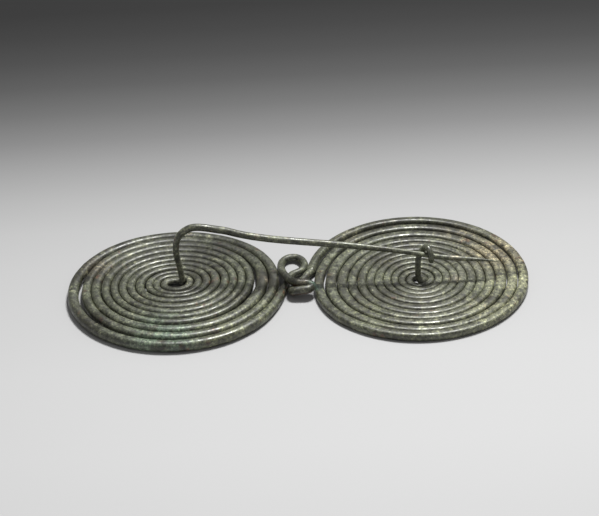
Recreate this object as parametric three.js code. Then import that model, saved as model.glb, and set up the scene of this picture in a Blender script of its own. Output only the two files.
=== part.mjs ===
// Spectacle fibula: a bronze dress pin wound from one continuous wire.
//
// The wire runs from the point of the pin over a springy arch and down a stem into the left spiral
// disc, through a figure-of-eight link into the right spiral disc, and up a post that ends in the
// hook which catches the pin. The brooch lies on its front with the pin uppermost.
//
// Millimetres, +Z up, X through the middles of both discs, origin under the middle of the object.

import * as THREE from 'three';

// ---------------------------------------------------------------- driving dimensions

const DISC_SPACING = 73.9; // middle of one disc to middle of the other
const TURNS = 11; // turns wound into each disc
const JOINT_WIRE = 1.3; // wire radius where the rim runs into the link
const JOINT_TAPER = 0.1; // part of a turn in which it swells to the rim's own radius
const JOINT_LIFT = 0.08; // keeps the joints off the ground, so that the rims carry the brooch
const CORE_WIRE = 0.8; // wire radius at the middle of a disc
const LINK_WIRE = 1.15; // wire radius round the figure of eight
const LINK_HEIGHT = 1.32; // height of the wire where the figure of eight lies flat
const PIN_WIRE = 1.08; // wire radius of the pin behind the arch
const HOOK_WIRE = 0.92; // wire radius of the post and hook

const PITCH_TAPER = 0.087; // how fast the spacing of the turns shrinks inwards, mm per turn squared
const STEP_HALF = 0.097; // half of the part of a turn in which the wire steps inwards
const RIM_EVENNESS = 0.25; // 0: the rim turn is a circle with a step, 1: an even spiral
const CORE_EVENNESS = 0.85; // the same for the innermost turn
const FLAT_RIM = 0.06; // share of a disc's radius that stays flat on the ground
const SPREAD = 1.22; // the most that hammering has widened the wire, as a share of its radius
const SPREAD_FROM = 1.2; // turns inwards from which the turns are pressed together
const TURN_GAP = 0.1; // half of the least gap between neighbouring turns

const SIDES = 8; // sides of the wire's section
const RIM_STEPS = 28; // straight lengths in one outer turn
const CORE_STEPS = 14; // straight lengths in one inner turn
const FINE_RADIUS = 13; // turns wider than this take RIM_STEPS
const PIN_STEP = 3.2; // length of the straight lengths of the pin and arch
const LINK_STEP = 1.5;
const HOOK_STEP = 1.3;
const TIP_LENGTH = 4; // length of the pin's point, in wire radii
const END_LENGTH = 0.5; // length of the hook's rounded end, in wire radii

const LEFT = {
  middle: [-DISC_SPACING / 2, 0], // of the rim turn
  core: [-37.1, 1.7], // of the innermost turn
  rim: 31.35, // radius to the middle of the wire
  wire: 1.65, // wire radius at the rim
  flatness: 1, // height of the wire's section there, as a share of its width
  pitch: 3.65, // spacing of the outermost turns
  dome: 1.9, // how far the middle bulges towards the pin
  joint: 4, // degrees, where the rim turn steps outwards into the link
  first: 0.032, // turns inwards from the joint at which the wire comes in from the link
  reach: 1.6, // how far outside the rim it may lie there
  last: 10.95,
  // how far the wire strays outwards from the even spiral, at the four quarters of each turn
  strays: [
    [0, -1.35, -0.45, -0.5],
    [0.75, -1.6, -0.55, -0.3],
    [1.2, -1.55, -0.2, -0.25],
    [0.9, -1.5, -0.1, -0.4],
    [0.85, -1.0, 0.25, -0.7],
    [1.2, -0.7, 0.6, -0.8],
    [1.45, -0.65, 0.75, -0.8],
    [1.25, -0.9, 0.55, -0.65],
    [0.85, -0.85, 0.05, -1.0],
    [0.6, -0.35, 0.05, -0.75],
    [0.2, -0.7, -0.3, -1.0],
    [0, 0, 0, 0],
  ],
};

const RIGHT = {
  middle: [DISC_SPACING / 2, 0],
  core: [37.2, -1.8],
  rim: 32.6,
  wire: 1.5,
  flatness: 0.84,
  pitch: 3.74,
  dome: 0.2,
  joint: 188,
  first: 0.053,
  reach: -0.1,
  last: 11.51,
  strays: [
    [0, 0.35, -0.1, 0.15],
    [-0.15, -0.75, -0.1, 0.85],
    [-0.2, -1.1, -0.15, 0.75],
    [-0.2, -1.35, -0.25, 1.1],
    [-0.1, -0.85, -0.05, 1.55],
    [0.05, -0.25, 0.2, 1.3],
    [0.2, 0.25, 0.35, 0.9],
    [0.3, 0.7, 0.45, 0.7],
    [0.25, 0.85, 0.45, 0.6],
    [0.25, 0.65, 0.35, 0.4],
    [0.25, 0.2, 0, 0],
    [-0.05, 0, 0, 0],
  ],
};

// Routes that are bent by hand: middle of the wire, and its radius.
const STEM_AND_PIN = [
  [-34.65, 2.75, 3.6, 0.9],
  [-34.85, 2.65, 5, 0.92],
  [-35.3, 2.7, 8.4, 0.93],
  [-35.85, 2.7, 11.3, 0.94],
  [-36.05, 2.7, 14.5, 0.97],
  [-35.6, 2.7, 17.6, 1.03],
  [-34.7, 2.65, 19.3, 1.07],
  [-33.3, 2.5, 20.7, 1.1],
  [-31.5, 2.4, 21.7, 1.12],
  [-29.6, 2.25, 22.0, 1.12],
  [-27.8, 2.15, 21.85, 1.12],
  [-24.3, 1.9, 21.2, 1.12],
  [-20.7, 1.6, 20.5, 1.12],
  [-17.2, 1.35, 19.4, 1.1],
  [-13.6, 1.1, 18.5, PIN_WIRE],
  [-8.2, 0.7, 17.5, PIN_WIRE],
  [-1, 0.2, 16.5, PIN_WIRE],
  [10.4, -0.6, 15.2, 1.04],
  [19.1, -1.25, 14.1, 0.98],
  [28.4, -1.95, 12.7, 0.86],
  [33.5, -2.3, 11.8, 0.78],
  [37.9, -2.6, 10.9, 0.77],
  [41.6, -2.9, 10.15, 0.8],
  [45.5, -3.2, 9.55, 0.8],
  [49.6, -3.5, 9.05, 0.68],
  [55.6, -3.9, 8.4, 0.43],
  [60.3, -4.25, 7.9, 0.1],
];

const LINK = [
  [-4.15, -2.9, LINK_HEIGHT, 1.27],
  [-3.2, -0.8, LINK_HEIGHT, LINK_WIRE],
  [-2.7, 1.5, LINK_HEIGHT, LINK_WIRE],
  [-2, 3.6, LINK_HEIGHT, LINK_WIRE],
  [-0.9, 5.2, LINK_HEIGHT, LINK_WIRE],
  [0.7, 6.2, LINK_HEIGHT, LINK_WIRE],
  [2.2, 7.4, LINK_HEIGHT, LINK_WIRE],
  [3.1, 9.3, LINK_HEIGHT, LINK_WIRE],
  [3.15, 11.5, LINK_HEIGHT, LINK_WIRE],
  [2.4, 13.5, LINK_HEIGHT, LINK_WIRE],
  [0.8, 14.95, LINK_HEIGHT, LINK_WIRE],
  [-1.5, 14.85, LINK_HEIGHT, LINK_WIRE],
  [-3.4, 13, LINK_HEIGHT, LINK_WIRE],
  [-4.1, 10.4, 1.4, LINK_WIRE],
  [-4.05, 7.6, 1.9, LINK_WIRE],
  [-3.95, 4.9, 2.8, LINK_WIRE],
  [-3.65, 2.3, 3.65, LINK_WIRE],
  [-2.9, -0.3, 3.95, LINK_WIRE],
  [-1.7, -2.4, 3.95, LINK_WIRE],
  [0.4, -3.4, 3.85, LINK_WIRE],
  [2.9, -3.55, 3.65, LINK_WIRE],
  [4.4, -4.7, 3.35, LINK_WIRE],
  [3.4, -6.15, 3.15, LINK_WIRE],
  [0.9, -6.4, 2.9, LINK_WIRE],
  [-1.3, -6, 2.5, LINK_WIRE],
  [-1.8, -4.5, 1.8, LINK_WIRE],
  [-0.9, -2.3, 1.35, LINK_WIRE],
  [0.9, 0.3, LINK_HEIGHT, LINK_WIRE],
  [2.75, 2.85, LINK_HEIGHT, LINK_WIRE],
  [3.75, 4.6, LINK_HEIGHT, 1.27],
];

const POST_AND_HOOK = [
  [38.75, -2.45, 1.1, 0.8],
  [37.95, -2.9, 1.25, 0.84],
  [37.2, -2.75, 1.9, 0.88],
  [36.97, -2.45, 3.3, 0.9],
  [36.95, -2.4, 5.2, 0.9],
  [36.95, -2.15, 7.4, 0.9],
  [37.15, -1.45, 9.0, HOOK_WIRE],
  [37.8, -0.75, 10.2, HOOK_WIRE],
  [38.7, -0.75, 11.5, HOOK_WIRE],
  [39.4, -1.5, 12.7, HOOK_WIRE],
  [39.9, -2.75, 13.0, HOOK_WIRE],
  [40.4, -4.0, 12.3, HOOK_WIRE],
  [40.65, -4.65, 10.8, HOOK_WIRE],
  [40.7, -4.6, 9.2, 0.88],
  [40.6, -4.35, 8.3, 0.8],
];

// ---------------------------------------------------------------- route of the wire

const smooth = (x) => x * x * (3 - 2 * x);
const clamp01 = (x) => Math.min(1, Math.max(0, x));
const mix = (a, b, k) => a + (b - a) * k;

// Turns of wire outside a place, for a place that is `t` turns inwards from the joint. Towards the
// rim the wire follows circles and steps inwards at the joint; towards the middle it is a spiral.
function depth(t) {
  const joint = Math.round(t);
  const stepped = joint + smooth(clamp01((t - joint + STEP_HALF) / (2 * STEP_HALF))) - 0.5;
  return mix(stepped, t, mix(RIM_EVENNESS, CORE_EVENNESS, clamp01(t / TURNS)));
}

// How far the wire of a disc strays outwards there: a smooth run through its quarter turns.
function strayAt(disc, t) {
  const quarters = disc.strays.flat();
  const value = (i) => quarters[THREE.MathUtils.clamp(i, 0, quarters.length - 1)];
  const i = Math.floor(t * 4);
  const k = t * 4 - i;
  const slope = (value(i + 1) - value(i - 1)) / 2;
  const nextSlope = (value(i + 2) - value(i)) / 2;
  const rise = value(i + 1) - value(i);
  const bend = 3 * rise - 2 * slope - nextSlope;
  return value(i) + k * (slope + k * (bend + k * (slope + nextSlope - 2 * rise)));
}

// Middle of the wire of a disc in plan, `t` turns inwards from its joint, and how deep it lies.
function discMiddle(disc, t) {
  const turn = depth(t) - 0.5;
  const spiral = disc.rim - disc.pitch * turn + PITCH_TAPER * turn * turn;
  const radius = Math.min(spiral, disc.rim + disc.reach);
  const inwards = 1 - clamp01(radius / disc.rim);
  const strayed = radius + strayAt(disc, t);
  const angle = THREE.MathUtils.degToRad(disc.joint - 360 * t);
  const x = mix(disc.middle[0], disc.core[0], inwards) + strayed * Math.cos(angle);
  const y = mix(disc.middle[1], disc.core[1], inwards) + strayed * Math.sin(angle);
  return { plan: new THREE.Vector2(x, y), radius, inwards, turn };
}

// Middle of the wire of a disc with its half width and half height. The wire gives way sideways
// where neighbouring turns crowd it.
function discPoint(disc, t) {
  const { plan, radius, inwards, turn } = discMiddle(disc, t);
  const swell = clamp01((t - disc.first) / JOINT_TAPER);
  const along = clamp01(turn / (TURNS - 0.5));
  const full = mix(mix(JOINT_WIRE, disc.wire, swell), CORE_WIRE, along);
  let wire = full * mix(1, SPREAD, smooth(clamp01(t - SPREAD_FROM)));
  for (const beside of [t - 1, t + 1]) {
    if (beside < disc.first || beside > disc.last) continue;
    wire = Math.min(wire, plan.distanceTo(discMiddle(disc, beside).plan) / 2 - TURN_GAP);
  }
  const high = full * mix(mix(1, disc.flatness, swell), 1, along);
  const risen = clamp01((inwards - FLAT_RIM) / (1 - FLAT_RIM));
  const lift = JOINT_LIFT * (1 - swell) + disc.dome * risen * (2 - risen);
  const at = new THREE.Vector3(plan.x, plan.y, high * Math.cos(Math.PI / SIDES) + lift);
  return { at, wire, high, radius };
}

// The wire of a disc, from its joint inwards.
function discRoute(disc) {
  const route = [];
  let t = disc.first;
  while (t < disc.last) {
    const point = discPoint(disc, t);
    route.push(point);
    t += 1 / (point.radius > FINE_RADIUS ? RIM_STEPS : CORE_STEPS);
  }
  return route;
}

// A smooth route through points bent by hand, led in and out by its neighbours.
function bentRoute(before, points, after, step) {
  const knots = points.map(([x, y, z, wire]) => ({ at: new THREE.Vector3(x, y, z), wire, high: wire }));
  const all = [...before, ...knots, ...after];
  const curve = new THREE.CatmullRomCurve3(all.map((knot) => knot.at), false, 'centripetal');
  const route = [];
  for (let i = Math.max(before.length - 1, 0); i < all.length - Math.max(after.length, 1); i += 1) {
    const length = all[i].at.distanceTo(all[i + 1].at);
    const pieces = Math.max(1, Math.round(length / step));
    for (let j = 0; j < pieces; j += 1) {
      const k = j / pieces;
      const at = curve.getPoint((i + k) / (all.length - 1));
      const wire = mix(all[i].wire, all[i + 1].wire, k);
      route.push({ at, wire, high: mix(all[i].high, all[i + 1].high, k) });
    }
  }
  return before.length ? route.slice(1) : route;
}

function wireRoute() {
  const left = discRoute(LEFT).reverse();
  const right = discRoute(RIGHT);
  const pin = bentRoute([], [...STEM_AND_PIN].reverse(), left.slice(0, 2), PIN_STEP);
  const link = bentRoute(left.slice(-2), LINK, right.slice(0, 2), LINK_STEP);
  const hook = bentRoute(right.slice(-2), POST_AND_HOOK, [], HOOK_STEP);
  const end = POST_AND_HOOK[POST_AND_HOOK.length - 1];
  hook.push({ at: new THREE.Vector3(end[0], end[1], end[2]), wire: end[3], high: end[3] });
  const route = [...pin, ...left, ...link, ...right, ...hook];
  const leftJoint = pin.length + left.length - 1;
  return { route, leftJoint, rightJoint: leftJoint + link.length + 1 };
}

// ---------------------------------------------------------------- sweep

// Directions along the wire, one for each place of the route.
function tangents(route) {
  return route.map((_, i) => {
    const before = route[Math.max(i - 1, 0)].at;
    const after = route[Math.min(i + 1, route.length - 1)].at;
    return after.clone().sub(before).normalize();
  });
}

// Carries an "up" direction from one place to the next without twisting it.
function carry(up, from, to) {
  const turn = new THREE.Quaternion().setFromUnitVectors(from, to);
  const next = up.clone().applyQuaternion(turn);
  return next.addScaledVector(to, -next.dot(to)).normalize();
}

// "Up" directions: vertical on both rims, so that the wire's flats face the ground there. What the
// figure of eight twists by is spread along it.
function upDirections(along, leftJoint, rightJoint) {
  const ups = new Array(along.length);
  const vertical = (i) => new THREE.Vector3(0, 0, 1).addScaledVector(along[i], -along[i].z).normalize();
  const leftRim = leftJoint - RIM_STEPS / 4;
  const rightRim = rightJoint + RIM_STEPS / 4;
  ups[leftRim] = vertical(leftRim);
  for (let i = leftRim - 1; i >= 0; i -= 1) ups[i] = carry(ups[i + 1], along[i + 1], along[i]);
  for (let i = leftRim + 1; i < along.length; i += 1) ups[i] = carry(ups[i - 1], along[i - 1], along[i]);

  const wanted = vertical(rightRim);
  const side = new THREE.Vector3().crossVectors(along[rightRim], ups[rightRim]);
  const twist = Math.atan2(wanted.dot(side), wanted.dot(ups[rightRim]));
  const rest = twist - Math.PI * Math.round(twist / Math.PI);
  for (let i = leftJoint + 1; i < along.length; i += 1) {
    const share = clamp01((i - leftJoint) / (rightJoint - leftJoint));
    ups[i].applyAxisAngle(along[i], rest * share);
  }
  return ups;
}

// One closed tube along the route, with a closing fan at each end.
function sweep({ route, leftJoint, rightJoint }) {
  const along = tangents(route);
  const ups = upDirections(along, leftJoint, rightJoint);
  const vertices = [];
  route.forEach(({ at, wire, high }, i) => {
    const side = new THREE.Vector3().crossVectors(along[i], ups[i]);
    for (let k = 0; k < SIDES; k += 1) {
      const angle = ((k + 0.5) * 2 * Math.PI) / SIDES;
      const corner = at.clone();
      corner.addScaledVector(ups[i], high * Math.cos(angle));
      corner.addScaledVector(side, -wire * Math.sin(angle));
      vertices.push(corner.x, corner.y, corner.z);
    }
  });
  const tip = route[0].at.clone().addScaledVector(along[0], -TIP_LENGTH * route[0].wire);
  const lastRing = route.length - 1;
  const endLength = END_LENGTH * route[lastRing].wire;
  const end = route[lastRing].at.clone().addScaledVector(along[lastRing], endLength);
  const tipIndex = route.length * SIDES;
  vertices.push(tip.x, tip.y, tip.z, end.x, end.y, end.z);

  const faces = [];
  for (let i = 0; i < lastRing; i += 1) {
    for (let k = 0; k < SIDES; k += 1) {
      const a = i * SIDES + k;
      const b = i * SIDES + ((k + 1) % SIDES);
      faces.push(a, a + SIDES, b, b, a + SIDES, b + SIDES);
    }
  }
  for (let k = 0; k < SIDES; k += 1) {
    const next = (k + 1) % SIDES;
    faces.push(tipIndex, k, next);
    faces.push(tipIndex + 1, lastRing * SIDES + next, lastRing * SIDES + k);
  }
  const geometry = new THREE.BufferGeometry();
  geometry.setAttribute('position', new THREE.Float32BufferAttribute(vertices, 3));
  geometry.setIndex(faces);
  return geometry;
}

// ---------------------------------------------------------------- object

function buildWire() {
  const geometry = sweep(wireRoute());
  geometry.computeBoundingBox();
  const middle = geometry.boundingBox.getCenter(new THREE.Vector3());
  geometry.translate(-middle.x, -middle.y, -geometry.boundingBox.min.z);
  geometry.computeVertexNormals();
  const bronze = new THREE.MeshStandardMaterial({ color: 0x5b6052, roughness: 0.5, metalness: 0.6 });
  const mesh = new THREE.Mesh(geometry, bronze);
  mesh.name = 'fibula_wire';
  return mesh;
}

const fibula = new THREE.Group();
fibula.add(buildWire());

export default fibula;
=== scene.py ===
"""Looks of the spectacle fibula: its one wire as a fine mesh with a bronze patina, a floor, a lamp
and a camera."""

import math

import bpy
import numpy as np
from mathutils import Matrix, Vector


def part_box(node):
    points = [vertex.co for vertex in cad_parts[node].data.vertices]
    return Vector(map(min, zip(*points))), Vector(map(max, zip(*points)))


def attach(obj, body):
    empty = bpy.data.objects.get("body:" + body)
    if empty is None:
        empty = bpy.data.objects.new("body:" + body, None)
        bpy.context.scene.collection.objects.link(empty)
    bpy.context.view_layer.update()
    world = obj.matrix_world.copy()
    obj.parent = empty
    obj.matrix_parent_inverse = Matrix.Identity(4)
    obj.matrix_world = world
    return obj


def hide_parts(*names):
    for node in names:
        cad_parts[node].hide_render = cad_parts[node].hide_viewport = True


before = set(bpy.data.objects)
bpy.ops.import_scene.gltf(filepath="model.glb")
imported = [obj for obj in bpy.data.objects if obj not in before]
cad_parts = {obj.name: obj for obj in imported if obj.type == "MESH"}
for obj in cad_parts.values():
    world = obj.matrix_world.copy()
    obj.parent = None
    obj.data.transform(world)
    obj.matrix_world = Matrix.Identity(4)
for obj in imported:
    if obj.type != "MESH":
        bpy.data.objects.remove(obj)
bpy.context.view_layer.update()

MM = 0.001
SEED = 11

# ---------------------------------------------------------------- the wire's dimensions, in mm
# These are the CAD's. Refined here are the wire of the link's near loop, the pin's point, the
# hook's end, the gaps between the left disc's outer turns and the least gap between turns.

DISC_SPACING = 73.9
TURNS = 11
JOINT_WIRE = 1.3  # half the thickness, as for every wire here, where a disc meets the link
JOINT_TAPER = 0.1  # turns over which the wire swells from there
JOINT_LIFT = 0.08  # how far the wire there is off the ground
CORE_WIRE = 0.8
LINK_WIRE = 1.15
LINK_HEIGHT = 1.32
NEAR_LOOP_WIRE = 1.36  # crusted, so thicker than in the CAD
PIN_WIRE = 1.08
HOOK_WIRE = 0.92
PITCH_TAPER = 0.087  # half of how much closer the turns lie with each turn inwards
STEP_HALF = 0.097  # half the stretch, in turns, over which a turn steps inwards at the joint
RIM_EVENNESS = 0.25  # 0 is circles with steps between them, 1 an even spiral
CORE_EVENNESS = 0.85
FLAT_RIM = 0.06  # share of a disc's radius, from the rim inwards, that lies flat
FLAT_HEIGHT = math.cos(math.pi / 8)  # of an octagon lying on a flat, as a share of its radius

LEFT = dict(
    middle=(-DISC_SPACING / 2, 0), core=(-37.1, 1.7), rim=31.35, wire=1.65, flatness=1,
    pitch=3.65, dome=1.9, joint=4, first=0.032, reach=1.6, last=10.95,
    # how far the wire strays outwards from the even spiral, at the four quarters of each turn
    strays=(
        (0, -1.35, -0.3, -0.5), (0.75, -1.6, -0.8, -0.3), (0.65, -1.55, -0.35, -0.25),
        (0.25, -1.5, -0.1, -0.4), (0.85, -1.0, 0.25, -0.7), (1.2, -0.7, 0.6, -0.8),
        (1.45, -0.65, 0.75, -0.8), (1.25, -0.9, 0.55, -0.65), (0.85, -0.85, 0.05, -1.0),
        (0.6, -0.35, 0.05, -0.75), (0.2, -0.7, -0.3, -1.0), (0, 0, 0, 0),
    ),
)
RIGHT = dict(
    middle=(DISC_SPACING / 2, 0), core=(37.2, -1.8), rim=32.6, wire=1.5, flatness=0.84,
    pitch=3.74, dome=0.2, joint=188, first=0.053, reach=-0.1, last=11.51,
    strays=(
        (0, 0.35, -0.1, 0.15), (-0.15, -0.75, -0.1, 0.85), (-0.2, -1.1, -0.15, 0.75),
        (-0.2, -1.35, -0.25, 1.1), (-0.1, -0.85, -0.05, 1.55), (0.05, -0.25, 0.2, 1.3),
        (0.2, 0.25, 0.35, 0.9), (0.3, 0.7, 0.45, 0.7), (0.25, 0.85, 0.45, 0.6),
        (0.25, 0.65, 0.35, 0.4), (0.25, 0.2, 0, 0), (-0.05, 0, 0, 0),
    ),
)

# Points that the wire is bent through: x, y, z and half the thickness.
STEM_AND_PIN = [
    (-34.65, 2.75, 3.6, 0.9), (-34.85, 2.65, 5, 0.92), (-35.3, 2.7, 8.4, 0.93),
    (-35.85, 2.7, 11.3, 0.94), (-36.05, 2.7, 14.5, 0.97), (-35.6, 2.7, 17.6, 1.03),
    (-34.7, 2.65, 19.3, 1.07), (-33.3, 2.5, 20.7, 1.1), (-31.5, 2.4, 21.7, 1.12),
    (-29.6, 2.25, 22, 1.12), (-27.8, 2.15, 21.85, 1.12), (-24.3, 1.9, 21.2, 1.12),
    (-20.7, 1.6, 20.5, 1.12), (-17.2, 1.35, 19.4, 1.1), (-13.6, 1.1, 18.5, PIN_WIRE),
    (-8.2, 0.7, 17.5, PIN_WIRE), (-1, 0.2, 16.5, PIN_WIRE), (10.4, -0.6, 15.2, 1.04),
    (19.1, -1.25, 14.1, 0.98), (28.4, -1.95, 12.7, 0.86), (33.5, -2.3, 11.8, 0.78),
    (37.9, -2.6, 10.9, 0.77), (41.6, -2.9, 10.15, 0.8), (45.5, -3.2, 9.55, 0.8),
    (49.6, -3.5, 9.1, 0.78), (55.6, -3.9, 8.5, 0.55), (61.2, -4.3, 7.8, 0.14),
]

LINK = [
    (-4.15, -2.9, LINK_HEIGHT, 1.27), (-3.2, -0.8, LINK_HEIGHT, LINK_WIRE),
    (-2.7, 1.5, LINK_HEIGHT, LINK_WIRE), (-2, 3.6, LINK_HEIGHT, LINK_WIRE),
    (-0.9, 5.2, LINK_HEIGHT, LINK_WIRE), (0.7, 6.2, LINK_HEIGHT, LINK_WIRE),
    (2.2, 7.4, LINK_HEIGHT, LINK_WIRE), (3.1, 9.3, LINK_HEIGHT, LINK_WIRE),
    (3.15, 11.5, LINK_HEIGHT, LINK_WIRE), (2.4, 13.5, LINK_HEIGHT, LINK_WIRE),
    (0.8, 14.95, LINK_HEIGHT, LINK_WIRE), (-1.5, 14.85, LINK_HEIGHT, LINK_WIRE),
    (-3.4, 13, LINK_HEIGHT, LINK_WIRE), (-4.1, 10.4, 1.4, LINK_WIRE), (-4.05, 7.6, 1.9, LINK_WIRE),
    (-3.95, 4.9, 2.8, LINK_WIRE), (-3.65, 2.3, 3.65, LINK_WIRE), (-2.9, -0.3, 3.95, LINK_WIRE),
    (-1.7, -2.4, 3.95, LINK_WIRE), (0.4, -3.5, 3.85, NEAR_LOOP_WIRE),
    (2.9, -3.65, 3.65, NEAR_LOOP_WIRE), (4.4, -4.7, 3.35, LINK_WIRE),
    (3.4, -6.15, 3.15, NEAR_LOOP_WIRE), (0.9, -6.3, 2.9, NEAR_LOOP_WIRE),
    (-1.3, -6, 2.5, NEAR_LOOP_WIRE), (-1.8, -4.5, 1.8, LINK_WIRE), (-0.9, -2.3, 1.35, LINK_WIRE),
    (0.9, 0.3, LINK_HEIGHT, LINK_WIRE), (2.75, 2.85, LINK_HEIGHT, LINK_WIRE),
    (3.75, 4.6, LINK_HEIGHT, 1.27),
]

POST_AND_HOOK = [
    (38.75, -2.45, 1.1, 0.8), (37.95, -2.9, 1.25, 0.84), (37.2, -2.75, 1.9, 0.88),
    (36.97, -2.45, 3.3, 0.9), (36.95, -2.4, 5.2, 0.9), (36.95, -2.15, 7.4, 0.9),
    (37.15, -1.45, 9, HOOK_WIRE), (37.8, -0.75, 10.2, HOOK_WIRE), (38.7, -0.75, 11.5, HOOK_WIRE),
    (39.4, -1.5, 12.7, HOOK_WIRE), (39.9, -2.75, 13, HOOK_WIRE), (40.4, -4, 12.3, HOOK_WIRE),
    (40.65, -4.65, 10.8, HOOK_WIRE), (40.7, -4.6, 9.6, 0.88),
]

SPREAD = 1.22  # how much hammering has widened the inner turns, where there is room
SPREAD_FROM = 1.2  # turns inwards from which they widen, within one turn
TURN_GAP = 0.02  # half of the least gap between turns
# How square the section is on the pin, left disc, link, right disc and hook: 2 is an ellipse.
FULLNESS = (2.0, 2.6, 2.0, 3.6, 2.0)
LINK_PART = 2  # the link's place in that order
LUMPS = 0.03  # share of the wire's thickness by which corrosion and hammering make it uneven
LUMP_NOISE = ((0.55, 2.3), (0.3, 1.0), (0.35, 5.0))  # share and size in mm of each of its noises

# ---------------------------------------------------------------- mesh

SECTION = 18  # sides of the wire's section
RING_STEP = 0.47  # mm between rings on the discs
FINE_STEP = 0.3  # mm between rings on the link, hook and pin
ROUTE_SAMPLES = 20000  # of a disc's wire, for spacing its rings
UPRIGHT_PLACE = 0.3  # how far along the rings, in the left disc, the section starts upright
UPRIGHTING = 0.05  # how fast a flat stretch turns the section back upright
FLAT_ENOUGH = 0.7  # length of the vertical seen across the wire above which a stretch is flat
# The wire's ends, in half thicknesses: the length of the pin's point, then how far on the two last
# rings of the hook's rounded end lie and their size, and how far on its point lies.
PIN_POINT = 3
HOOK_END = ((0.45, 0.86), (0.75, 0.55))
HOOK_POINT = 0.87


def smooth(x):
    """An even rise from 0 to 1."""
    x = np.clip(x, 0, 1)
    return x * x * (3 - 2 * x)


def mix(a, b, k):
    return a + (b - a) * k


def hashed(ix, iy, iz, seed):
    """A number from -1 to 1 for each cell of a lattice."""
    h = (ix * 374761393 + iy * 668265263 + iz * 2147483647 + seed * 1274126177) & 0xFFFFFFFF
    h = ((h ^ (h >> 13)) * 1274126177) & 0xFFFFFFFF
    h = ((h ^ (h >> 16)) * 2246822519) & 0xFFFFFFFF
    return ((h ^ (h >> 15)) & 0xFFFFFF) / float(0xFFFFFF) * 2 - 1


def noise_3d(points, scale, seed):
    """Smooth noise in space, about -1 to 1; points in mm."""
    u = points / scale
    base = np.floor(u).astype(np.int64)
    k = smooth(u - base)
    total = 0
    for dx in (0, 1):
        for dy in (0, 1):
            for dz in (0, 1):
                weight = 1
                for axis, d in enumerate((dx, dy, dz)):
                    weight = weight * (k[:, axis] if d else 1 - k[:, axis])
                cell = (base[:, 0] + dx, base[:, 1] + dy, base[:, 2] + dz)
                total = total + weight * hashed(*cell, seed)
    return total


def depth(t):
    """How many turns deep in its disc the wire lies, t turns from the joint."""
    joint = np.round(t)
    stepped = joint + smooth((t - joint + STEP_HALF) / (2 * STEP_HALF)) - 0.5
    return mix(stepped, t, mix(RIM_EVENNESS, CORE_EVENNESS, np.clip(t / TURNS, 0, 1)))


def stray_at(disc, t):
    """How far the wire of a disc strays outwards there: a smooth run through its quarter turns."""
    quarters = np.array(disc["strays"]).ravel()
    i = np.floor(t * 4).astype(int)
    k = t * 4 - i
    before, here, after, beyond = (
        quarters[np.clip(i + d, 0, len(quarters) - 1)] for d in (-1, 0, 1, 2)
    )
    slope, next_slope, rise = (after - before) / 2, (beyond - here) / 2, after - here
    bend = 3 * rise - 2 * slope - next_slope
    return here + k * (slope + k * (bend + k * (slope + next_slope - 2 * rise)))


def disc_middle(disc, t):
    """Middle of the wire of a disc in plan, t turns inwards from its joint, how far in that is as a
    share of the radius, and how many turns deep."""
    turn = depth(t) - 0.5
    spiral = disc["rim"] - disc["pitch"] * turn + PITCH_TAPER * turn * turn
    radius = np.minimum(spiral, disc["rim"] + disc["reach"])
    inwards = 1 - np.clip(radius / disc["rim"], 0, 1)
    strayed = radius + stray_at(disc, t)
    angle = np.radians(disc["joint"] - 360 * t)
    x = mix(disc["middle"][0], disc["core"][0], inwards) + strayed * np.cos(angle)
    y = mix(disc["middle"][1], disc["core"][1], inwards) + strayed * np.sin(angle)
    return x, y, inwards, turn


def disc_points(disc, t):
    """Middle of the wire of a disc, with half its width and height: rows of x, y, z, wide, high."""
    x, y, inwards, turn = disc_middle(disc, t)
    swell = np.clip((t - disc["first"]) / JOINT_TAPER, 0, 1)
    along = np.clip(turn / (TURNS - 0.5), 0, 1)
    full = mix(mix(JOINT_WIRE, disc["wire"], swell), CORE_WIRE, along)
    wide = full * mix(1, SPREAD, smooth(t - SPREAD_FROM))
    for beside in (t - 1, t + 1):
        x2, y2, _, _ = disc_middle(disc, beside)
        room = np.hypot(x2 - x, y2 - y) / 2 - TURN_GAP
        alone = (beside < disc["first"]) | (beside > disc["last"])
        wide = np.where(alone, wide, np.minimum(wide, room))
    high = full * mix(mix(1, disc["flatness"], swell), 1, along)
    risen = np.clip((inwards - FLAT_RIM) / (1 - FLAT_RIM), 0, 1)
    lift = JOINT_LIFT * (1 - swell) + disc["dome"] * risen * (2 - risen)
    return np.column_stack([x, y, high * FLAT_HEIGHT + lift, wide, high])


def distances(points):
    """How far along a route of x, y, z each of its points lies."""
    return np.concatenate([[0], np.cumsum(np.linalg.norm(np.diff(points, axis=0), axis=1))])


def disc_route(disc):
    """The wire of a disc, from its joint inwards, in rings that are evenly spaced."""
    dense = np.linspace(disc["first"], disc["last"], ROUTE_SAMPLES)
    lengths = distances(disc_points(disc, dense)[:, :3])
    count = int(lengths[-1] / RING_STEP)
    return disc_points(disc, np.interp(np.linspace(0, lengths[-1], count), lengths, dense))


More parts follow.
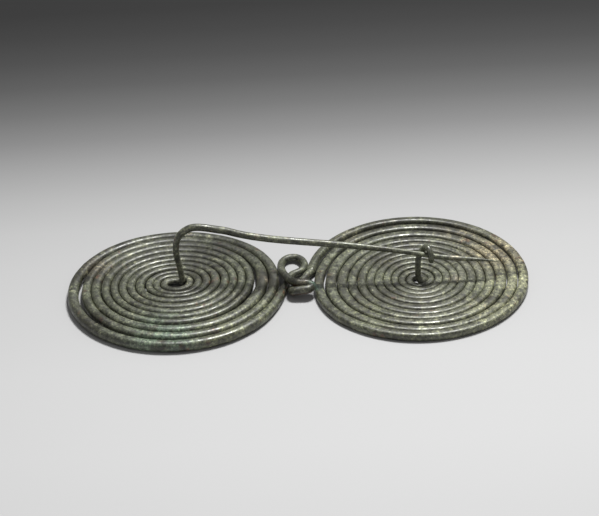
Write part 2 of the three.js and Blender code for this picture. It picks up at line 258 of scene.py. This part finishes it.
def bent_route(before, points, after):
    """A centripetal Catmull-Rom curve through the points, led in and out by its neighbours."""
    bent = [(x, y, z, wire, wire) for x, y, z, wire in points]
    knots = np.array(list(before) + bent + list(after), float)
    first = 0 if len(before) == 0 else len(before) - 1
    last = len(knots) - 1 if len(after) == 0 else len(knots) - len(after)
    rows = []
    for i in range(first, last):
        p1, p2 = knots[i], knots[i + 1]
        p0 = knots[i - 1] if i else 2 * p1 - p2
        p3 = knots[i + 2] if i + 2 < len(knots) else 2 * p2 - p1
        d1 = np.linalg.norm(p1[:3] - p0[:3]) ** 0.5
        d2 = np.linalg.norm(p2[:3] - p1[:3]) ** 0.5
        d3 = np.linalg.norm(p3[:3] - p2[:3]) ** 0.5
        m1 = ((p1 - p0) / d1 - (p2 - p0) / (d1 + d2) + (p2 - p1) / d2) * d2
        m2 = ((p2 - p1) / d2 - (p3 - p1) / (d2 + d3) + (p3 - p2) / d3) * d2
        pieces = max(1, int(round(np.linalg.norm(p2[:3] - p1[:3]) / FINE_STEP)))
        for j in range(pieces):
            u = j / pieces
            row = (
                (2 * u**3 - 3 * u**2 + 1) * p1 + (u**3 - 2 * u**2 + u) * m1
                + (3 * u**2 - 2 * u**3) * p2 + (u**3 - u**2) * m2
            )
            row[3:] = mix(p1[3:], p2[3:], u)
            rows.append(row)
    rows = np.array(rows)
    return rows[1:] if len(before) else rows


def wire_route():
    """The whole wire from the pin's point to the hook's end: rows of x, y, z, half width and half
    height, and the number of the part of the wire that each belongs to."""
    left, right = disc_route(LEFT)[::-1], disc_route(RIGHT)
    pin = bent_route([], STEM_AND_PIN[::-1], left[:2])
    link = bent_route(left[-2:], LINK, right[:2])
    hook = bent_route(right[-2:], POST_AND_HOOK, [])
    hook = np.vstack([hook, (*POST_AND_HOOK[-1], POST_AND_HOOK[-1][-1])])
    parts = (pin, left, link, right, hook)
    return np.vstack(parts), np.repeat(np.arange(len(parts)), [len(rows) for rows in parts])


def section_frames(route):
    """The wire's direction and the up and side of its section at each ring. Up stays as near
    vertical as the wire lets it."""
    along = np.gradient(route[:, :3], axis=0)
    along /= np.linalg.norm(along, axis=1)[:, None]
    ups = np.zeros_like(along)
    start = int(len(route) * UPRIGHT_PLACE)
    up = np.array([0, 0, 1.0]) - along[start] * along[start][2]
    ups[start] = up / np.linalg.norm(up)
    for direction in (-1, 1):
        i = start + direction
        while 0 <= i < len(route):
            up = ups[i - direction] - along[i] * np.dot(ups[i - direction], along[i])
            steady = np.array([0, 0, 1.0]) - along[i] * along[i][2]
            pull = UPRIGHTING * max(0.0, np.linalg.norm(steady) - FLAT_ENOUGH)
            up = up / np.linalg.norm(up) + pull * steady
            ups[i] = up / np.linalg.norm(up)
            i += direction
    return along, ups, np.cross(along, ups)


def swept_faces(rings):
    """Faces of a tube of so many rings, whose two ends close on the two vertices after them."""
    k = np.arange(SECTION)
    after = (k + 1) % SECTION
    i = np.arange(rings - 1)[:, None] * SECTION
    quads = np.stack([i + k, i + SECTION + k, i + SECTION + after, i + after], axis=-1)
    faces = quads.reshape(-1, 4).tolist()
    start, last = rings * SECTION, (rings - 1) * SECTION
    for j in range(SECTION):
        faces.append([start, j, (j + 1) % SECTION])
        faces.append([start + 1, last + (j + 1) % SECTION, last + j])
    return faces


def build_wire():
    """The wire as one mesh in mm. Also each vertex's place, how far it faces up and its part."""
    route, part = wire_route()
    along, ups, side = section_frames(route)
    angle = np.arange(SECTION) * 2 * np.pi / SECTION
    upward = np.cos(angle)[None, :, None] * ups[:, None, :]
    sideways = np.sin(angle)[None, :, None] * -side[:, None, :]
    power = np.choose(part, FULLNESS)[:, None]
    squared = np.abs(np.cos(angle))[None] ** power + np.abs(np.sin(angle))[None] ** power
    corner = sideways * route[:, 3, None, None] + upward * route[:, 4, None, None]
    corner = corner * (squared ** (-1 / power))[:, :, None]
    even = (route[:, None, :3] + corner).reshape(-1, 3)
    uneven = sum(
        share * noise_3d(even, size, SEED + k) for k, (share, size) in enumerate(LUMP_NOISE)
    ).reshape(len(route), SECTION)
    points = route[:, None, :3] + corner * (1 + LUMPS * uneven)[:, :, None]

    hook, hook_along, hook_wire = route[-1, :3], along[-1], route[-1, 3]
    end_rings = [
        hook + hook_along * forward * hook_wire + corner[-1] * shrink
        for forward, shrink in HOOK_END
    ]
    pin_point = route[0, :3] - along[0] * PIN_POINT * route[0, 3]
    hook_point = hook + hook_along * HOOK_POINT * hook_wire
    spots = np.vstack([points.reshape(-1, 3), *end_rings, pin_point[None], hook_point[None]])
    rings = len(route) + len(end_rings)

    mesh = bpy.data.meshes.new("bronze_wire")
    mesh.from_pydata(spots.tolist(), [], swept_faces(rings))
    mesh.update()
    wire = bpy.data.objects.new("bronze_wire", mesh)
    bpy.context.scene.collection.objects.link(wire)
    mesh.shade_smooth()
    ends = [part[-1]] * (len(end_rings) * SECTION) + [part[0], part[-1]]
    return wire, dict(
        spots=spots,
        upward=np.concatenate([np.tile(np.cos(angle), rings), [0, 0]]),
        part=np.concatenate([np.repeat(part, SECTION), ends]),
    )


def place_in_frame(wire):
    """Puts the wire, made in mm about the point midway between the discs, into the CAD's frame in
    metres, and returns where that point then lies."""
    mesh = wire.data
    coords = np.empty(len(mesh.vertices) * 3)
    mesh.vertices.foreach_get("co", coords)
    coords = coords.reshape(-1, 3) * MM
    low, high = (np.array(corner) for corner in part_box("fibula_wire"))
    # centred in plan on the CAD's box, and on the ground
    midway = (low + high) / 2 - (coords.min(0) + coords.max(0)) / 2
    midway[2] = low[2] - coords[:, 2].min()
    coords += midway
    mesh.vertices.foreach_set("co", coords.ravel())
    mesh.update()
    return midway


# ---------------------------------------------------------------- materials

# Linear colours of the patina, one of them partly a painted highlight.
DARK_OLIVE = (0.03, 0.03, 0.019)
GREY_GREEN = (0.08, 0.087, 0.06)
PALE_CRUST = (0.27, 0.27, 0.2)
BLACK_BROWN = (0.012, 0.011, 0.008)
RED_BROWN = (0.1, 0.04, 0.025)
SEA_GREEN = (0.13, 0.19, 0.14)
YELLOW_GREEN = (0.14, 0.15, 0.088)
TAN = (0.17, 0.14, 0.1)
PALE_TAN = (0.27, 0.23, 0.15)
PALE_YELLOW = (0.25, 0.255, 0.165)
PALE_OLIVE = (0.16, 0.165, 0.125)
# pale pink, partly the bronze's own tint and partly painted highlight on the pin and the link's
# near loop
PINK_TINT_AND_HIGHLIGHT = (0.3, 0.25, 0.2)
COPPER_GREEN = (0.08, 0.15, 0.12)
LEFT_GAIN = 1.1  # how much paler the patina is on each disc
RIGHT_GAIN = 1.45
RIGHT_FROM = -5  # mm along X, and over how many mm it changes
RIGHT_OVER = 20
BACK_PAINTED_SHADE = 0.3  # painted shade: how much darker the back turns are painted, to dull their reflections
BACK_REACH = 25  # mm along Y over which it darkens
LINK_NEAR = -4.0  # mm, the link's near loop lies nearer than this

# Sizes of the patina's noises in mm.
BROAD, MIDDLING, SMALL, FINE = 9.0, 3.2, 1.5, 0.75
PIT_SIZE = 2.0
RUST_SIZE, RUST_AREA = 1.1, 6.0
# Where in its noise each colour sets in and is full, and how strongly it then shows.
GREY_BAND = (-0.9, 0.9)
RAGGED_BAND = (-0.7, 0.3)
CRUST_BAND, CRUST_SHARE = (0.45, 0.95), 0.4
PIT_BAND, PIT_SHARE = (0.35, 0.9), 0.6
RUST_BAND, RUST_SHARE = (0.8, 1.25), 0.7
UNDERSIDE_BAND, UNDERSIDE_SHARE = (-0.2, 0.5), 0.8

# Patches of patina, the pinkish ones on the pin and the link partly painted highlight: place in
# plan in mm, reach, colour, strength.
PATCHES = [
    ((-42, -27), 17, SEA_GREEN, 0.8), ((-24, -27), 13, YELLOW_GREEN, 0.6),
    ((-11, -17), 10, YELLOW_GREEN, 0.6), ((-55, -24), 12, GREY_GREEN, 0.7),
    ((-37, 1), 9, PALE_OLIVE, 0.7), ((66, -8), 17, PALE_YELLOW, 0.95),
    ((63, 10), 15, PALE_TAN, 0.85), ((58, -22), 16, PALE_YELLOW, 0.85),
    ((42, -26), 14, PALE_OLIVE, 0.6), ((20, -22), 12, YELLOW_GREEN, 0.6),
    ((40, -10), 14, PALE_OLIVE, 0.7), ((52, 0), 12, PALE_OLIVE, 0.7), ((52, 22), 10, TAN, 0.5),
    ((-60, 14), 8, TAN, 0.4), ((-10, 1.2), 3, PINK_TINT_AND_HIGHLIGHT, 0.8), ((18, 24), 9, TAN, 0.4),
    ((5.5, -4.5), 2.6, COPPER_GREEN, 0.9), ((1.5, -3.4), 2.2, PINK_TINT_AND_HIGHLIGHT, 0.7),
    ((48, -3.4), 3, PINK_TINT_AND_HIGHLIGHT, 0.6), ((30, 8), 10, DARK_OLIVE, 0.6),
]

# The shader's noises. Scale is per metre.
GRAIN = dict(scale=1700, detail=4, rough=0.7, seed=2.0)
BLOTCH = dict(scale=520, detail=6, rough=0.75, seed=7.0)
SHEEN = dict(scale=420, detail=4, rough=0.7, seed=5.0)
RELIEF = dict(scale=1300, detail=4, rough=0.6, seed=3.0)
# What grain and blotches multiply the patina's colour by.
GRAIN_STOPS = [
    (0.34, (0.22, 0.21, 0.2)), (0.45, (0.72, 0.72, 0.72)), (0.54, (1.1, 1.1, 1.05)),
    (0.62, (2.1, 2.05, 1.9)), (0.72, (3.6, 3.5, 3.1)),
]
BLOTCH_STOPS = [
    (0.36, (0.3, 0.29, 0.27)), (0.46, (0.8, 0.8, 0.78)), (0.53, (1.1, 1.1, 1.08)),
    (0.62, (1.75, 1.75, 1.6)),
]
METALLIC = 0.2
SPECULAR = 0.85
SHEEN_NOISE, SHEEN_ROUGHNESS = (0.3, 0.62), (0.2, 0.6)
RELIEF_STRENGTH = 0.35
RELIEF_DEPTH = 0.00012  # m

PAPER_NEAR = -0.12  # m along Y, up to which the paper keeps its palest tone
PAPER_STEP = 0.02  # m between the tones that follow
# Painted shade: tones of the paper from near to far, darkening well behind the object as the light
# falls off.
PAPER_SHADE_TONES = [
    0.48, 0.478, 0.473, 0.46, 0.447, 0.424, 0.405, 0.383, 0.35, 0.294, 0.225, 0.152, 0.099, 0.062,
    0.0405, 0.0277, 0.02,
]
PAPER_ROUGHNESS = 0.8
PAPER_SPECULAR = 0.2


def patina_and_painted_light(spots, upward, part):
    """Colour of the patina at every vertex, from where it lies and from noise in space, with
    painted shade on the back turns and painted highlight in the pinkish patches.
    """
    broad = noise_3d(spots, BROAD, SEED + 5)
    middling = 0.6 * noise_3d(spots, MIDDLING, SEED + 6) + 0.4 * noise_3d(spots, SMALL, SEED + 7)
    fine = noise_3d(spots, FINE, SEED + 8)

    def band(value, low, high):
        return smooth((value - low) / (high - low))[:, None]

    def about(x, y, reach):
        """1 at a place in plan, 0 beyond its reach."""
        return smooth(1 - np.hypot(spots[:, 0] - x, spots[:, 1] - y) / reach)[:, None]

    grey = band(broad + 0.8 * middling, *GREY_BAND)
    colours = mix(np.array(DARK_OLIVE), np.array(GREY_GREEN), grey)
    on_right = smooth((spots[:, :1] - RIGHT_FROM) / RIGHT_OVER)
    colours = colours * mix(LEFT_GAIN, RIGHT_GAIN, on_right)
    # Painted shade: the back turns darkened to dull their reflections.
    colours = colours * (1 - BACK_PAINTED_SHADE * smooth(spots[:, 1:2] / BACK_REACH))
    for centre, reach, tint, strength in PATCHES:
        ragged = about(*centre, reach) * band(middling + 0.5 * fine, *RAGGED_BAND)
        colours = mix(colours, np.array(tint), strength * ragged)
    pale = band(fine + 0.7 * middling, *CRUST_BAND)
    colours = mix(colours, np.array(PALE_CRUST), CRUST_SHARE * pale)
    dark = band(-fine + 0.5 * noise_3d(spots, PIT_SIZE, SEED + 9), *PIT_BAND)
    colours = mix(colours, np.array(BLACK_BROWN), PIT_SHARE * dark)
    rust_noise = noise_3d(spots, RUST_SIZE, SEED + 10) + 0.6 * noise_3d(spots, RUST_AREA, SEED + 11)
    colours = mix(colours, np.array(RED_BROWN), RUST_SHARE * band(rust_noise, *RUST_BAND))
    on_near_loop = (part == LINK_PART)[:, None] * (spots[:, 1:2] < LINK_NEAR)
    underside = band(-upward, *UNDERSIDE_BAND) * on_near_loop
    return mix(colours, np.array(RED_BROWN), UNDERSIDE_SHARE * underside)


def paint(wire, info):
    """Keeps the patina's colours, painted shade and highlight included, with the mesh, for the
    material to read.
    """
    layer = wire.data.color_attributes.new("patina", "FLOAT_COLOR", "POINT")
    rgba = np.ones((len(wire.data.vertices), 4), np.float32)
    rgba[:, :3] = patina_and_painted_light(**info)
    layer.data.foreach_set("color", rgba.ravel())


def new_material(name):
    """A material, its node tree, its shader and its coordinates in the object's space."""
    material = bpy.data.materials.new(name)
    material.use_nodes = True
    tree = material.node_tree
    coords = tree.nodes.new("ShaderNodeTexCoord").outputs["Object"]
    return material, tree, tree.nodes["Principled BSDF"], coords


def noise(tree, coords, scale, detail, rough, seed):
    node = tree.nodes.new("ShaderNodeTexNoise")
    node.noise_dimensions = "4D"
    node.inputs["W"].default_value = seed
    node.inputs["Scale"].default_value = scale
    node.inputs["Detail"].default_value = detail
    node.inputs["Roughness"].default_value = rough
    tree.links.new(coords, node.inputs["Vector"])
    return node.outputs["Fac"]


def ramp(tree, value, stops):
    node = tree.nodes.new("ShaderNodeValToRGB")
    elements = node.color_ramp.elements
    while len(elements) < len(stops):
        elements.new(0.5)
    for element, (position, colour) in zip(elements, stops):
        element.position = position
        element.color = (*colour, 1)
    tree.links.new(value, node.inputs["Fac"])
    return node.outputs["Color"]


def map_range(tree, value, given, wanted=(0, 1)):
    node = tree.nodes.new("ShaderNodeMapRange")
    names = ("From Min", "From Max", "To Min", "To Max")
    for name, number in zip(names, (*given, *wanted)):
        node.inputs[name].default_value = number
    tree.links.new(value, node.inputs["Value"])
    return node.outputs["Result"]


def times(tree, a, b):
    node = tree.nodes.new("ShaderNodeMix")
    node.data_type = "RGBA"
    node.blend_type = "MULTIPLY"
    node.inputs["Factor"].default_value = 1
    tree.links.new(a, node.inputs["A"])
    tree.links.new(b, node.inputs["B"])
    return node.outputs["Result"]


def bronze_material():
    """Bronze under its patina: the mesh's colours, with grain and blotches finer than the mesh."""
    material, tree, shader, coords = new_material("patinated_bronze")
    patina = tree.nodes.new("ShaderNodeVertexColor")
    patina.layer_name = "patina"
    grain = ramp(tree, noise(tree, coords, **GRAIN), GRAIN_STOPS)
    blotch = ramp(tree, noise(tree, coords, **BLOTCH), BLOTCH_STOPS)
    colour = times(tree, times(tree, patina.outputs["Color"], grain), blotch)
    tree.links.new(colour, shader.inputs["Base Color"])
    shader.inputs["Metallic"].default_value = METALLIC
    shader.inputs["Specular IOR Level"].default_value = SPECULAR
    rough = map_range(tree, noise(tree, coords, **SHEEN), SHEEN_NOISE, SHEEN_ROUGHNESS)
    tree.links.new(rough, shader.inputs["Roughness"])
    bump = tree.nodes.new("ShaderNodeBump")
    bump.inputs["Strength"].default_value = RELIEF_STRENGTH
    bump.inputs["Distance"].default_value = RELIEF_DEPTH
    tree.links.new(noise(tree, coords, **RELIEF), bump.inputs["Height"])
    tree.links.new(bump.outputs["Normal"], shader.inputs["Normal"])
    return material


def floor_material():
    """Studio paper painted with shade: pale under and before the object, and painted darker well
    behind it, where the light falls off.
    """
    material, tree, shader, coords = new_material("paper_with_painted_shade")
    split = tree.nodes.new("ShaderNodeSeparateXYZ")
    tree.links.new(coords, split.inputs["Vector"])
    steps = len(PAPER_SHADE_TONES) - 1
    span = map_range(tree, split.outputs["Y"], (PAPER_NEAR, PAPER_NEAR + PAPER_STEP * steps))
    tone = ramp(tree, span, [(i / steps, (grey,) * 3) for i, grey in enumerate(PAPER_SHADE_TONES)])
    tree.links.new(tone, shader.inputs["Base Color"])
    shader.inputs["Roughness"].default_value = PAPER_ROUGHNESS
    shader.inputs["Specular IOR Level"].default_value = PAPER_SPECULAR
    return material


# ---------------------------------------------------------------- object

wire, info = build_wire()
midway = place_in_frame(wire)
paint(wire, info)
wire.data.materials.append(bronze_material())
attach(wire, "root")
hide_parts("fibula_wire")

# ---------------------------------------------------------------- studio

PAPER_REACH = 3.0  # m each way
LAMP_PLACE = (0.11, 0.16, 0.6)  # m
LAMP_SIZE = (0.15, 0.125)  # m
LAMP_WATTS = 6.0
SKY = 0.3  # strength of the plain white light from all round


def add_floor():
    mesh = bpy.data.meshes.new("paper")
    square = ((-1, -1), (1, -1), (1, 1), (-1, 1))
    corners = [(x * PAPER_REACH, y * PAPER_REACH, 0) for x, y in square]
    mesh.from_pydata(corners, [], [(0, 1, 2, 3)])
    mesh.update()
    floor = bpy.data.objects.new("paper", mesh)
    bpy.context.scene.collection.objects.link(floor)
    mesh.materials.append(floor_material())


def add_softbox():
    """The one lamp, above and behind to the right, pointing at the middle of the floor."""
    data = bpy.data.lights.new("softbox", "AREA")
    data.shape = "RECTANGLE"
    data.size, data.size_y = LAMP_SIZE
    data.energy = LAMP_WATTS
    lamp = bpy.data.objects.new("softbox", data)
    lamp.location = LAMP_PLACE
    lamp.rotation_euler = (-Vector(LAMP_PLACE)).to_track_quat("-Z", "Y").to_euler()
    bpy.context.scene.collection.objects.link(lamp)


def add_sky():
    world = bpy.data.worlds.new("studio")
    world.use_nodes = True
    background = world.node_tree.nodes["Background"]
    background.inputs["Color"].default_value = (1, 1, 1, 1)
    background.inputs["Strength"].default_value = SKY
    bpy.context.scene.world = world


add_floor()
add_softbox()
add_sky()

# ---------------------------------------------------------------- camera

CAMERA_AZIMUTH = -3.337  # degrees round the object from straight in front
CAMERA_ELEVATION = 32.688
CAMERA_ROLL = -1.588
CAMERA_DISTANCE = 0.7  # m
LENS = 137.8  # mm
SENSOR = 36  # mm
SHIFT = (0.0047, 0.0487)


def add_camera(centre):
    """The camera, turned to the point midway between the discs from its azimuth and elevation."""
    azimuth, elevation = math.radians(CAMERA_AZIMUTH), math.radians(CAMERA_ELEVATION)
    roll = math.radians(CAMERA_ROLL)
    level = math.cos(elevation)
    away = Vector((math.sin(azimuth) * level, -math.cos(azimuth) * level, math.sin(elevation)))
    data = bpy.data.cameras.new("camera")
    data.lens = LENS
    data.sensor_width = SENSOR
    data.shift_x, data.shift_y = SHIFT
    camera = bpy.data.objects.new("camera", data)
    right = away.cross(Vector((0, 0, 1))).normalized() * -1
    up = away.cross(right).normalized()
    rolled_right = right * math.cos(roll) + up * math.sin(roll)
    rolled_up = away.cross(rolled_right)
    turn = Matrix((rolled_right, rolled_up, away)).transposed()
    camera.matrix_world = Matrix.Translation(centre + away * CAMERA_DISTANCE) @ turn.to_4x4()
    bpy.context.scene.collection.objects.link(camera)
    bpy.context.scene.camera = camera


bpy.context.scene.view_settings.view_transform = "Standard"
add_camera(Vector(midway))
